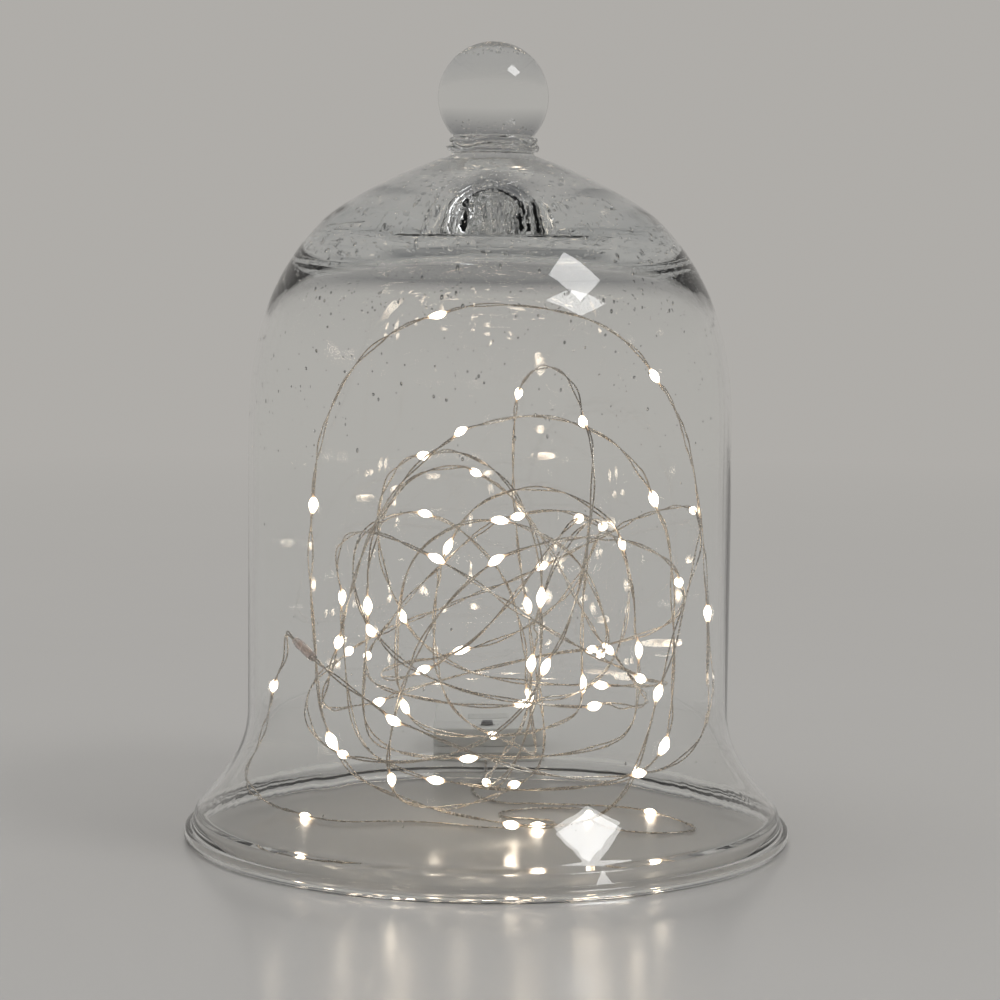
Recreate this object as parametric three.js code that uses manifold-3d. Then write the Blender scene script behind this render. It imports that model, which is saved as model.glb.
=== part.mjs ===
// A blown glass cloche with a loose string of small lights inside it, and the string's battery box
// behind it. Millimetres, +Z up. The origin is the centre of the rim, on the surface it stands on;
// +X is to the viewer's right and the battery box lies on the +Y side.
import * as THREE from "three";
import { mergeVertices } from "three/addons/utils/BufferGeometryUtils.js";
import Module from "manifold-3d";

const wasm = await Module();
wasm.setup();

// Glass bell, collar and knob
const bodyRadius = 95;
const rimRadius = 120;
const rimBeadRadius = 2.6;
const skirtHeight = 50;
const shoulderHeight = 160;
const crownHeight = 268.6;
const wallThickness = 2.4;
const crownThickness = 29.3;
const haunchThickness = 16;
const seatRadius = 15.4;
const neckHeight = 6.2;
const knobRadius = 21.7;
const rimNotchWidth = 3.4;
const rimNotchHeight = 2.4;
const bellFacets = 44;
const knobFacets = 28;

// Light string
const wireDiameter = 1.2;
const lightPitch = 100;
const beadLength = 7;
const beadDiameter = 3;
const windingLoops = 14;
const stepsPerLoop = 24;
const windingSides = 6;
const windingWallGap = 3.6;
const innerWindingRadius = 42;
const windingOffset = 5;
const windingTop = 226;
const windingFoot = 4;
const coreTop = 138;
const coreFoot = 42;
const windingSag = 0.3;
const windingFullness = 0.45;
const leadLength = 145;
const sleeveLength = 14;
const sleeveDiameter = 4;

// Battery box
const cellDiameter = 14.1;
const cellBodyLength = 49.2;
const cellNubDiameter = 5.4;
const cellNubLength = 1.3;
const cellPitch = 14.6;
const springLength = 4.4;
const springTurns = 3;
const springWire = 0.7;
const springRadius = 4.4;
const springTipRadius = 2.6;
const contactThickness = 0.4;
const contactWidth = 10;
const boxWall = 1.4;
const boxFloor = 1.6;
const coverThickness = 1.6;
const skirtDrop = 6.4;
const bayLength = 13;
const boxGap = 14;
const clearance = 0.3;
const railHeight = 1;
const railDepth = 0.6;
const grommetHeight = 5;
const grommetRadius = 1.9;
const boardThickness = 1;
const boardHeight = 9;
const switchTravel = 2;
const switchWidth = 8.6;
const switchDepth = 4;
const switchHeight = 4;

// Materials
function material(color, roughness, metalness = 0, opacity = 1) {
  return new THREE.MeshStandardMaterial({ color, roughness, metalness, opacity, transparent: opacity < 1 });
}
const clearGlass = material(0xe9eeec, 0.03, 0, 0.35);
const silverWire = material(0xd8cfc2, 0.3, 0.9);
const lightResin = material(0xffe2b8, 0.15);
const sleeveSkin = material(0xe7d3cb, 0.2, 0, 0.6);
const boxPlastic = material(0xe9e7e1, 0.45);
const nickel = material(0xc9c7c0, 0.25, 1);
const cellWrap = material(0x2f3a36, 0.35);
const boardLacquer = material(0x1f5a3a, 0.4);
const chipBody = material(0x1b1b1c, 0.5);
const softRubber = material(0xdedbd3, 0.8);
const sliderPlastic = material(0x3a3a3c, 0.5);

function mesh(name, geometry, surface, parent) {
  const made = new THREE.Mesh(geometry, surface);
  made.name = name;
  parent.add(made);
  return made;
}

// A closed geometry as a solid that can be cut and joined, and back.
function solid(geometry) {
  const bare = geometry.clone();
  bare.deleteAttribute("normal");
  bare.deleteAttribute("uv");
  const merged = mergeVertices(bare, 1e-4);
  return new wasm.Manifold(
    new wasm.Mesh({
      numProp: 3,
      vertProperties: merged.attributes.position.array,
      triVerts: new Uint32Array(merged.index.array),
    }),
  );
}
function geometryOf(body) {
  const data = body.getMesh();
  const made = new THREE.BufferGeometry();
  made.setAttribute("position", new THREE.BufferAttribute(data.vertProperties, 3));
  made.setIndex(new THREE.BufferAttribute(data.triVerts, 1));
  made.computeVertexNormals();
  return made;
}

// A profile of [radius, height] points turned round +Z, running up the outside and back down inside.
function turned(profile, segments) {
  const points = profile.map(([r, z]) => new THREE.Vector2(Math.max(r, 0), z));
  return new THREE.LatheGeometry(points, segments).rotateX(Math.PI / 2);
}

function block(x0, x1, y0, y1, z0, z1) {
  const made = new THREE.BoxGeometry(x1 - x0, y1 - y0, z1 - z0);
  return made.translate((x0 + x1) / 2, (y0 + y1) / 2, (z0 + z1) / 2);
}

// An outline of [x, z] points pushed from y0 to y1.
function pushed(outline, y0, y1) {
  const shape = new THREE.Shape(outline.map(([x, z]) => new THREE.Vector2(x, z)));
  return new THREE.ExtrudeGeometry(shape, { depth: y1 - y0, bevelEnabled: false })
    .rotateX(Math.PI / 2)
    .translate(0, y1, 0);
}

function curve(a, b, c, d, steps) {
  const bent = new THREE.CubicBezierCurve(...[a, b, c, d].map(([r, z]) => new THREE.Vector2(r, z)));
  return bent.getPoints(steps).map((p) => [p.x, p.y]);
}

// The bell: its outside runs up from the rim, and its inside comes back down from the ceiling.
const rimFlat = Math.sqrt(rimBeadRadius ** 2 - (rimBeadRadius - 0.2) ** 2);
const beadCentre = rimRadius - rimBeadRadius;
const crownRise = crownHeight - shoulderHeight;
const haunchRadius = bodyRadius * 0.7;
const haunchHeight = shoulderHeight + crownRise * 0.75;
const mouthInset = 1.6;
const mouthHeight = 8;
const skirtFlare = 12;
const skirtBend = 16;

// The skirt of one side of the wall, and that side's radius above it. It leaves the rim at 45 degrees.
function shellCurve(inset) {
  const side = bodyRadius - inset;
  const mouth = rimRadius - mouthInset - inset;
  const foot = [mouth, mouthHeight];
  const flare = [mouth - skirtFlare, mouthHeight + skirtFlare];
  return { skirt: curve(foot, flare, [side, skirtHeight - skirtBend], [side, skirtHeight], 8), side };
}

// The dome leans in at 45 degrees at its haunch; these are the lengths of its curves' handles there.
const haunchPull = 16;
const crownPull = 10;
const seatRound = 1.2;

// The glass gathers in the crown: it thickens down and inwards from the haunch, and the ceiling over the
// hollow is a shallow cone with a soft tip.
const thicknessSlant = THREE.MathUtils.degToRad(53.5);
const ceilingRun = 20;
const ceilingRise = 4;
const ceilingTip = 14;
const ceilingSink = 1.2;

function outside() {
  const { skirt, side } = shellCurve(0);
  const haunch = [haunchRadius, haunchHeight];
  const shoulder = curve(
    [side, shoulderHeight],
    [side, shoulderHeight + crownRise * 0.387],
    [haunchRadius + haunchPull, haunchHeight - haunchPull],
    haunch,
    8,
  );
  const crown = curve(
    haunch,
    [haunchRadius - crownPull, haunchHeight + crownPull],
    [seatRadius + 16, crownHeight - 5.6],
    [seatRadius + seatRound, crownHeight - seatRound * 0.75],
    6,
  );
  return [...skirt, ...shoulder, ...crown.slice(1), [seatRadius, crownHeight]];
}

function inside() {
  const { skirt, side } = shellCurve(wallThickness);
  const haunch = [
    haunchRadius - haunchThickness * Math.cos(thicknessSlant),
    haunchHeight - haunchThickness * Math.sin(thicknessSlant),
  ];
  const innerPull = haunchPull - 1;
  const ceiling = crownHeight - crownThickness;
  const shoulder = curve(
    [side, shoulderHeight],
    [side, shoulderHeight + crownRise * 0.37],
    [haunch[0] + innerPull, haunch[1] - innerPull],
    haunch,
    7,
  );
  const cone = curve(
    haunch,
    [haunch[0] - ceilingRun, haunch[1] + ceilingRise],
    [ceilingTip, ceiling - ceilingSink],
    [0, ceiling],
    6,
  );
  return [...skirt, ...shoulder, ...cone.slice(1)].reverse();
}

function rimBead() {
  const points = [];
  for (let i = 0; i <= 8; i += 1) {
    const angle = THREE.MathUtils.degToRad(-67.4 + (i / 8) * 150);
    points.push([
      beadCentre + rimBeadRadius * Math.cos(angle),
      rimBeadRadius - 0.2 + rimBeadRadius * Math.sin(angle),
    ]);
  }
  points[0] = [beadCentre + rimFlat, 0];
  return points;
}

function glassBell() {
  const inner = inside();
  const profile = [
    [beadCentre - rimFlat, 0],
    ...rimBead(),
    ...outside().slice(1),
    [0, crownHeight],
    ...inner,
  ];
  profile.push(profile[0]);
  const notch = new THREE.Shape();
  notch.moveTo(-rimNotchWidth / 2, -1);
  notch.lineTo(rimNotchWidth / 2, -1);
  notch.lineTo(rimNotchWidth / 2, rimNotchHeight - rimNotchWidth / 2);
  notch.absarc(0, rimNotchHeight - rimNotchWidth / 2, rimNotchWidth / 2, 0, Math.PI, false);
  const channel = new THREE.ExtrudeGeometry(notch, { depth: 16, bevelEnabled: false, curveSegments: 5 })
    .rotateX(Math.PI / 2)
    .translate(0, rimRadius + 4, 0);
  return geometryOf(solid(turned(profile, bellFacets)).subtract(solid(channel)));
}

// Collar: two soft rolls between the crown's flat seat and the knob's flat foot.
function neckCollar() {
  const top = crownHeight + neckHeight;
  return turned(
    [
      [0, crownHeight],
      [seatRadius, crownHeight],
      [seatRadius + 2.6, crownHeight + neckHeight * 0.22],
      [seatRadius + 2.2, crownHeight + neckHeight * 0.42],
      [seatRadius + 0.8, crownHeight + neckHeight * 0.56],
      [seatRadius + 1.9, crownHeight + neckHeight * 0.74],
      [seatRadius + 1.5, crownHeight + neckHeight * 0.9],
      [seatRadius, top],
      [0, top],
    ],
    knobFacets,
  );
}

function ballKnob() {
  const foot = crownHeight + neckHeight;
  const footAngle = Math.acos(seatRadius / knobRadius);
  const centre = foot + knobRadius * Math.sin(footAngle);
  const profile = [[0, foot]];
  for (let i = 0; i <= 12; i += 1) {
    const angle = -footAngle + (i / 12) * (Math.PI / 2 + footAngle);
    profile.push([knobRadius * Math.cos(angle), centre + knobRadius * Math.sin(angle)]);
  }
  profile[profile.length - 1][0] = 0;
  return turned(profile, knobFacets);
}

// Winding: nested egg shapes, one a loop, shrinking inwards, so that no loop can meet another. The tangle
// has settled a little, so its widest level lies below its middle, and its springy loops press outwards, so
// it is fuller towards its top and foot than an ellipsoid.
const upright = new THREE.Vector3(0, 0, 1);
const wireRadius = wireDiameter / 2;
const beadRadius = beadDiameter / 2;
const outerWindingRadius = bodyRadius - wallThickness - windingOffset - windingWallGap;

function shellAt(share) {
  const top = THREE.MathUtils.lerp(coreTop, windingTop, 0.37 * share + 0.63 * share ** 4);
  const foot = THREE.MathUtils.lerp(coreFoot, windingFoot, share);
  const radius = THREE.MathUtils.lerp(innerWindingRadius, outerWindingRadius, share);
  return { radius, middle: (top + foot) / 2, half: (top - foot) / 2 };
}

// Where the wire is after a number of loops: each loop leans and turns a little further than the last.
// All angles are in radians.
const loopLean = 0.937;
const loopSway = 0.724;
const swayRate = 0.4894;
const swayPhase = 4.911;
const loopStart = 3.38;
const loopDrift = -0.1108;
const windingHeading = 0.349;

function windingPoint(loop) {
  const turn = loop * 2 * Math.PI;
  const lean = loopLean + loopSway * Math.sin(swayRate * turn + swayPhase);
  const out = new THREE.Vector3(Math.cos(turn + loopStart), Math.sin(turn + loopStart), 0)
    .applyAxisAngle(new THREE.Vector3(1, 0, 0), lean)
    .applyAxisAngle(upright, windingHeading + loopDrift * turn);
  const { radius, middle, half } = shellAt(1 - loop / windingLoops);
  const level = out.z - windingSag * (1 - out.z ** 2);
  const wide = radius * (1 + windingFullness * out.z ** 2);
  return new THREE.Vector3(windingOffset + wide * out.x, wide * out.y, middle + half * level);
}

// The winding's points at even loop shares, with the wire's length up to each.
function measuredWinding(perLoop) {
  const table = [];
  let length = 0;
  for (let i = 0; i <= windingLoops * perLoop; i += 1) {
    const at = i / perLoop;
    const point = windingPoint(at);
    if (i) length += point.distanceTo(table[i - 1].point);
    table.push({ at, point, length });
  }
  return table;
}
const windingTable = measuredWinding(160);
const windingLength = windingTable.at(-1).length;

function windingAt(length) {
  const clamped = THREE.MathUtils.clamp(length, 0, windingLength);
  const next = Math.max(1, windingTable.findIndex((row) => row.length >= clamped));
  const a = windingTable[next - 1];
  const b = windingTable[next];
  return windingPoint(THREE.MathUtils.mapLinear(clamped, a.length, b.length, a.at, b.at));
}
function windingDirection(length) {
  return windingAt(length + 0.5).sub(windingAt(length - 0.5)).normalize();
}

// Route of the wire from the box's grommet to the splice sleeve, under the rim and along the table.
const boxFront = rimRadius + boxGap;
const grommetOut = 3;
const exitPoint = new THREE.Vector3(0, boxFront - grommetOut - clearance, grommetHeight);
const routePoints = [
  [0, 128, 4.6],
  [0, 123, 1.4],
  [0, 117, 0.8],
  [-1, 108, 0.7],
  [-6, 92, 0.7],
  [-4, 74, 0.7],
  [6, 60, 0.7],
  [26, 56, 0.8],
  [50, 48, 1.2],
  [68, 34, 1.6],
  [81, 16, 1.1],
  [83, 4, 0.8],
  [72, -3, 0.7],
  [56, -1, 0.9],
  [44, 12, 1.5],
  [42, 30, 1.6],
  [40, 42, 1.2],
  [30, 48, 0.7],
  [16, 46, 0.7],
  [6, 38, 0.7],
  [8, 28, 0.7],
  [18, 25, 0.7],
  [26, 20, 0.9],
  [27, 12, 1.3],
  [19, 7, 1.6],
  [2, 5, 0.9],
  [-19, 13, 0.7],
  [-40, 15, 0.8],
  [-60, 13, 1.2],
  [-79, 28, 1.8],
  [-91, 37, 4],
  [-98, 30, 12],
  [-98, 18, 22],
  [-92, 9, 34],
  [-87, -1, 48],
  [-83, -12, 62],
  [-78, -22, 73],
];

const startPoint = windingAt(0);
const startDirection = windingAt(1).sub(startPoint).normalize();
function beforeWinding(distance) {
  return startPoint.clone().addScaledVector(startDirection, -distance);
}
const routeEnd = beforeWinding(sleeveLength + 2 * clearance);
const route = new THREE.CatmullRomCurve3(
  [
    exitPoint,
    ...routePoints.map((p) => new THREE.Vector3(...p)),
    beforeWinding(sleeveLength + 8),
    beforeWinding(sleeveLength + 3),
    routeEnd,
  ],
  false,
  "centripetal",
);
route.arcLengthDivisions = 800;
const routeLength = route.getLength();

// Distances of the lights along the whole string; the sleeve takes the wire's length inside it.
const sleeveSpan = sleeveLength + 2 * clearance;
const stringLength = routeLength + sleeveSpan + windingLength + clearance + beadLength;
const lightPlaces = [];
for (let place = leadLength; place < stringLength; place += lightPitch) lightPlaces.push(place);
const endMargin = beadLength / 2 + wireDiameter;
const routeLights = lightPlaces.filter((place) => place < routeLength - endMargin);
const windingLights = lightPlaces
  .map((place) => place - routeLength - sleeveSpan)
  .filter((place) => place > endMargin && place < windingLength - lightPitch / 2);

// A bead is a drop: the wire swells to its full width over the middle of its length.
const beadShoulder = beadLength * 0.19;
function wireRadiusAt(length, lights) {
  const off = Math.min(...lights.map((place) => Math.abs(place - length)));
  const swell = THREE.MathUtils.clamp((beadLength / 2 - off) / (beadLength / 2 - beadShoulder), 0, 1);
  return THREE.MathUtils.lerp(wireRadius, beadRadius, swell);
}

// An unbroken tube through rings of a radius each, closed at both ends.
function tubeThrough(rings, sides) {
  const count = rings.length;
  const forward = rings.map((ring, i) => {
    const before = rings[Math.max(i - 1, 0)].point;
    const after = rings[Math.min(i + 1, count - 1)].point;
    return ring.direction ?? after.clone().sub(before).normalize();
  });
  let across = upright.clone().cross(forward[0]).normalize();
  const positions = [];
  rings.forEach(({ point, radius }, i) => {
    across = across.addScaledVector(forward[i], -across.dot(forward[i])).normalize();
    const up = forward[i].clone().cross(across);
    for (let side = 0; side < sides; side += 1) {
      const angle = (side / sides) * 2 * Math.PI;
      const corner = point.clone();
      corner.addScaledVector(across, radius * Math.cos(angle));
      corner.addScaledVector(up, radius * Math.sin(angle));
      positions.push(...corner);
    }
  });
  positions.push(...rings[0].point, ...rings[count - 1].point);
  const faces = [];
  for (let side = 0; side < sides; side += 1) {
    const next = (side + 1) % sides;
    for (let i = 0; i < count - 1; i += 1) {
      const low = i * sides;
      const high = low + sides;
      faces.push(low + side, low + next, high + next, low + side, high + next, high + side);
    }
    const last = (count - 1) * sides;
    faces.push(next, side, count * sides, last + side, last + next, count * sides + 1);
  }
  const made = new THREE.BufferGeometry();
  made.setAttribute("position", new THREE.Float32BufferAttribute(positions, 3));
  made.setIndex(faces);
  made.computeVertexNormals();
  return made;
}

// Ring places: the plain steps of each loop, and four at each bead.
function windingRings() {
  const beadSteps = [-beadLength / 2, -beadShoulder, beadShoulder, beadLength / 2];
  const places = [0, wireDiameter, windingLength - wireDiameter, windingLength];
  for (let step = 1; step < windingLoops * stepsPerLoop; step += 1) {
    const at = step / stepsPerLoop;
    const place = windingTable[Math.round((at / windingLoops) * (windingTable.length - 1))].length;
    const clear = windingLights.every((light) => Math.abs(light - place) > beadLength);
    if (clear && place > 4 * wireDiameter && place < windingLength - 4 * wireDiameter) places.push(place);
  }
  windingLights.forEach((light) => beadSteps.forEach((step) => places.push(light + step)));
  places.sort((a, b) => a - b);
  return places.map((place) => {
    const straight = place <= wireDiameter;
    return {
      point: straight ? startPoint.clone().addScaledVector(startDirection, place) : windingAt(place),
      direction: straight ? startDirection : windingDirection(place),
      radius: wireRadiusAt(place, windingLights),
    };
  });
}

function lightBead() {
  const profile = [
    [0, -beadLength / 2],
    [wireRadius * 0.9, -beadLength / 2],
    [beadRadius, -beadShoulder],
    [beadRadius, beadShoulder],
    [wireRadius * 0.9, beadLength / 2],
    [0, beadLength / 2],
  ];
  return turned(profile, 8);
}

function wireRun() {
  const section = new THREE.Shape();
  section.absarc(0, 0, wireRadius, 0, 2 * Math.PI);
  const tube = new THREE.ExtrudeGeometry(section, { steps: 80, curveSegments: 4, extrudePath: route });
  let body = solid(tube);
  routeLights.forEach((place) => {
    const share = place / routeLength;
    const turn = new THREE.Quaternion().setFromUnitVectors(upright, route.getTangentAt(share));
    const bead = lightBead().applyQuaternion(turn).translate(...route.getPointAt(share));
    body = body.add(solid(bead));
  });
  return geometryOf(body);
}

// Least gap of the whole string to itself, between surfaces, and of the winding to the glass.
function leastGap() {
  const samples = [];
  const step = 1.6;
  for (let place = 0; place < routeLength; place += step) {
    const radius = wireRadiusAt(place, routeLights);
    samples.push({ place, radius, point: route.getPointAt(place / routeLength) });
  }
  for (let place = 0; place < windingLength; place += step) {
    const radius = wireRadiusAt(place, windingLights);
    samples.push({ place: place + routeLength + sleeveSpan, radius, point: windingAt(place) });
  }
  let least = Infinity;
  samples.forEach((a, i) => {
    for (let j = i + 1; j < samples.length; j += 1) {
      const b = samples[j];
      if (b.place - a.place < 12 * wireDiameter) continue;
      if (Math.abs(a.point.x - b.point.x) > 8 || Math.abs(a.point.z - b.point.z) > 8) continue;
      least = Math.min(least, a.point.distanceTo(b.point) - a.radius - b.radius);
    }
  });
  return least;
}

const cloche = new THREE.Group();
mesh("glass_bell", glassBell(), clearGlass, cloche);
mesh("neck_collar", neckCollar(), clearGlass, cloche);
mesh("ball_knob", ballKnob(), clearGlass, cloche);

const lightString = new THREE.Group();
mesh("wire_winding", tubeThrough(windingRings(), windingSides), silverWire, lightString);
mesh("wire_run", wireRun(), silverWire, lightString);

// The string ends in its last light.
const endDirection = windingDirection(windingLength);
const endLight = mesh("end_light", lightBead(), lightResin, lightString);
endLight.position.copy(windingAt(windingLength)).addScaledVector(endDirection, clearance + beadLength / 2);
endLight.quaternion.setFromUnitVectors(upright, endDirection);

const sleeveHalf = sleeveLength / 2;
const sleeveRound = sleeveDiameter * 0.3;
const sleeve = mesh(
  "splice_sleeve",
  turned(
    [
      [0, -sleeveHalf],
      [sleeveDiameter / 2 - sleeveRound, -sleeveHalf],
      [sleeveDiameter / 2, -sleeveHalf + sleeveRound],
      [sleeveDiameter / 2, sleeveHalf - sleeveRound],
      [sleeveDiameter / 2 - sleeveRound, sleeveHalf],
      [0, sleeveHalf],
    ],
    12,
  ),
  sleeveSkin,
  lightString,
);
sleeve.position.copy(beforeWinding(sleeveHalf + clearance));
sleeve.quaternion.setFromUnitVectors(upright, startDirection);

// Battery box, in its own frame: x across, y from the cord's end, z up from the table. The tray's lower
// shell is flush with the lid, which is cut across into a fixed deck and a sliding cover round its neck.
const batteryBox = new THREE.Group();
batteryBox.position.y = boxFront;
const neckInset = boxWall + clearance;
const innerHalf = (3 * cellPitch) / 2 + clearance;
const neckHalf = innerHalf + boxWall;
const outerHalf = neckHalf + neckInset;
const bayStart = neckInset + boxWall;
const bayEnd = bayStart + bayLength;
const cellsStart = bayEnd + boxWall;
const cellsLength = cellBodyLength + cellNubLength + springLength + 2 * contactThickness + clearance;
const cellsEnd = cellsStart + cellsLength;
const boxLength = cellsEnd + bayStart;
const cellAxis = boxFloor + clearance + cellDiameter / 2;
const trayTop = cellAxis + cellDiameter / 2 + 1;
const boxTop = trayTop + clearance + coverThickness;
const stepHeight = boxTop - skirtDrop - coverThickness;
const railMiddle = stepHeight + 2.4;
const deckEnd = cellsStart - clearance;
const boardHalf = 10;
const slotHalf = switchTravel + clearance;
const stemHalf = 1;
const capHalf = 2.6;
const capHeight = 1.5;
const gripRidges = 6;
const gripPitch = 2.2;
const gripStart = 8;
const gripHalf = 9;
const gripHeight = 0.5;
const switchMiddle = bayStart + bayLength / 2;

// A box with rounded upright corners and, where asked, softened top and bottom edges.
function roundedBox(halfX, y0, y1, z0, z1, corner, bevel = 0) {
  const outline = new THREE.Shape();
  const x = halfX - bevel;
  const low = y0 + bevel;
  const high = y1 - bevel;
  outline.absarc(x - corner, low + corner, corner, -Math.PI / 2, 0, false);
  outline.absarc(x - corner, high - corner, corner, 0, Math.PI / 2, false);
  outline.absarc(corner - x, high - corner, corner, Math.PI / 2, Math.PI, false);
  outline.absarc(corner - x, low + corner, corner, Math.PI, Math.PI * 1.5, false);
  const settings = { depth: z1 - z0 - 2 * bevel, curveSegments: 4, bevelEnabled: bevel > 0 };
  Object.assign(settings, { bevelSize: bevel, bevelThickness: bevel, bevelSegments: 2 });
  return new THREE.ExtrudeGeometry(outline, settings).translate(0, 0, z0 + bevel);
}

// Both long sides of the neck, as bars that stand out of it: the lid's rails, and wider, the grooves.
function sideBars(grow, y0, y1) {
  const face = neckHalf + clearance;
  const low = railMiddle - railHeight / 2 - grow;
  const high = railMiddle + railHeight / 2 + grow;
  const reach = railDepth + grow;
  const rooted = face + (grow ? clearance : joinDepth);
  const right = solid(block(face - reach, rooted, y0, y1, low, high));
  const left = solid(block(-rooted, reach - face, y0, y1, low, high));
  return right.add(left);
}

const boxCorner = 3;
const boxSoftening = 0.8;
const joinDepth = 0.2;
const ribHeight = 1.6;
const ribHalf = 0.5;
const postHalf = 1.5;

function boxTray() {
  const seam = stepHeight - clearance;
  const neckEnd = boxLength - neckInset;
  let body = solid(roundedBox(outerHalf, 0, boxLength, 0, boxTop, boxCorner, boxSoftening));
  body = body.subtract(solid(block(-outerHalf - 1, outerHalf + 1, -1, boxLength + 1, seam, boxTop + 1)));
  body = body.add(solid(roundedBox(neckHalf, neckInset, neckEnd, boxFloor, trayTop, boxCorner - neckInset)));
  body = body.subtract(sideBars(clearance, neckInset - 1, neckEnd + 1));
  body = body.subtract(solid(block(-innerHalf, innerHalf, bayStart, bayEnd, boxFloor, boxTop)));
  body = body.subtract(solid(block(-innerHalf, innerHalf, cellsStart, cellsEnd, boxFloor, boxTop)));
  const underFloor = boxFloor - joinDepth;
  [-0.5, 0.5].forEach((place) => {
    const x = place * cellPitch;
    const low = cellsStart - joinDepth;
    const high = cellsEnd + joinDepth;
    body = body.add(solid(block(x - ribHalf, x + ribHalf, low, high, underFloor, boxFloor + ribHeight)));
  });
  [-1, 1].forEach((side) => {
    const x = side * (boardHalf - postHalf);
    const low = bayStart - joinDepth;
    const high = bayEnd + joinDepth;
    body = body.add(solid(block(x - postHalf, x + postHalf, low, high, underFloor, boardHeight)));
  });
  const holeRadius = grommetRadius + clearance;
  const hole = new THREE.CylinderGeometry(holeRadius, holeRadius, 2 * bayStart, 16)
    .translate(0, bayStart / 2, grommetHeight);
  return geometryOf(body.subtract(solid(hole)));
}

// The lid's whole shell; the deck is its part over the electronics, and the cover is the rest.
function lidShell() {
  const hollow = boxCorner - boxWall;
  const lidEnd = boxLength - boxWall;
  let body = solid(roundedBox(outerHalf, 0, boxLength, 0, boxTop, boxCorner, boxSoftening));
  const room = roundedBox(neckHalf + clearance, boxWall, lidEnd, -1, trayTop + clearance, hollow);
  body = body.subtract(solid(room));
  body = body.subtract(solid(block(-outerHalf - 1, outerHalf + 1, -1, boxLength + 1, -1, stepHeight)));
  return body.add(sideBars(0, boxCorner + 1, boxLength - boxCorner - 1));
}

function bayDeck() {
  const rest = solid(block(-outerHalf - 1, outerHalf + 1, deckEnd, boxLength + 1, -1, boxTop + 1));
  const slot = block(
    -slotHalf - stemHalf,
    slotHalf + stemHalf,
    switchMiddle - stemHalf - clearance,
    switchMiddle + stemHalf + clearance,
    trayTop - 1,
    boxTop + 1,
  );
  return geometryOf(lidShell().subtract(rest).subtract(solid(slot)));
}

function batteryCover() {
  const rest = solid(block(-outerHalf - 1, outerHalf + 1, -1, deckEnd + clearance, -1, boxTop + 1));
  let body = lidShell().subtract(rest);
  const outline = [
    [-gripHalf, boxTop - joinDepth],
    [gripHalf, boxTop - joinDepth],
    [gripHalf - 0.4, boxTop + gripHeight],
    [0.4 - gripHalf, boxTop + gripHeight],
  ];
  for (let i = 0; i < gripRidges; i += 1) {
    const y = deckEnd + gripStart + i * gripPitch;
    body = body.add(solid(pushed(outline, y, y + gripPitch / 2)));
  }
  return geometryOf(body);
}

mesh("box_tray", boxTray(), boxPlastic, batteryBox);
mesh("bay_deck", bayDeck(), boxPlastic, batteryBox);
mesh("battery_cover", batteryCover(), boxPlastic, batteryBox);

// Cells lie side by side and turn about; each has its spring at its flat end.
const cellLow = cellsStart + contactThickness;
const cellHigh = cellsEnd - contactThickness;
function batteryCell() {
  const r = cellDiameter / 2;
  const nub = cellNubDiameter / 2;
  return turned(
    [
      [0, 0],
      [r - 0.6, 0],
      [r, 0.6],
      [r, cellBodyLength - 0.6],
      [r - 0.6, cellBodyLength],
      [nub, cellBodyLength],
      [nub, cellBodyLength + cellNubLength - 0.3],
      [nub - 0.3, cellBodyLength + cellNubLength],
      [0, cellBodyLength + cellNubLength],
    ],
    20,
  );
}

function contactSpring() {
  const rings = [];
  const steps = 8 * springTurns;
  for (let i = 0; i <= steps; i += 1) {
    const angle = (i / 8) * 2 * Math.PI;
    const radius = THREE.MathUtils.lerp(springRadius, springTipRadius, i / steps);
    const rise = THREE.MathUtils.lerp(springWire / 2, springLength - clearance - springWire / 2, i / steps);
    rings.push({
      point: new THREE.Vector3(radius * Math.cos(angle), radius * Math.sin(angle), rise),
      radius: springWire / 2,
    });
  }
  return tubeThrough(rings, 5);
}

for (let i = 0; i < 3; i += 1) {
  const x = (i - 1) * cellPitch;
  const springAtFront = i !== 1;
  const facing = springAtFront ? -Math.PI / 2 : Math.PI / 2;
  const base = springAtFront ? cellLow : cellHigh;
  const along = springAtFront ? 1 : -1;
  const cell = mesh(`battery_cell_${i + 1}`, batteryCell(), cellWrap, batteryBox);
  cell.position.set(x, base + along * springLength, cellAxis);
  cell.rotation.x = facing;
  const spring = mesh(`contact_spring_${i + 1}`, contactSpring(), nickel, batteryBox);
  spring.position.set(x, base + along * (clearance / 2), cellAxis);
  spring.rotation.x = facing;
}

function contactPlate(name, fromCell, toCell, atFront) {
  const x0 = (fromCell - 1) * cellPitch - contactWidth / 2;
  const x1 = (toCell - 1) * cellPitch + contactWidth / 2;
  const y0 = atFront ? cellsStart : cellsEnd - contactThickness;
  const z0 = cellAxis - contactWidth / 2;
  mesh(name, block(x0, x1, y0, y0 + contactThickness, z0, z0 + contactWidth), nickel, batteryBox);
}
contactPlate("contact_plate_minus", 0, 0, true);
contactPlate("contact_bridge_front", 1, 2, true);
contactPlate("contact_bridge_rear", 0, 1, false);
contactPlate("contact_plate_plus", 2, 2, false);

// Electronics bay: a board on its posts, the timer chip, the slide switch and the slider on it.
const boardDepth = bayLength - 2 * clearance;
const boardY = bayStart + clearance;
const boardTop = boardHeight + boardThickness;
mesh(
  "control_board",
  block(-boardHalf, boardHalf, boardY, boardY + boardDepth, boardHeight, boardTop),
  boardLacquer,
  batteryBox,
);
mesh("timer_chip", block(5.4, 9.4, boardY + 3, boardY + 8, boardTop, boardTop + 1.6), chipBody, batteryBox);
mesh(
  "slide_switch",
  block(
    -switchWidth / 2,
    switchWidth / 2,
    switchMiddle - switchDepth / 2,
    switchMiddle + switchDepth / 2,
    boardTop,
    boardTop + switchHeight,
  ),
  nickel,
  batteryBox,
);

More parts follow.
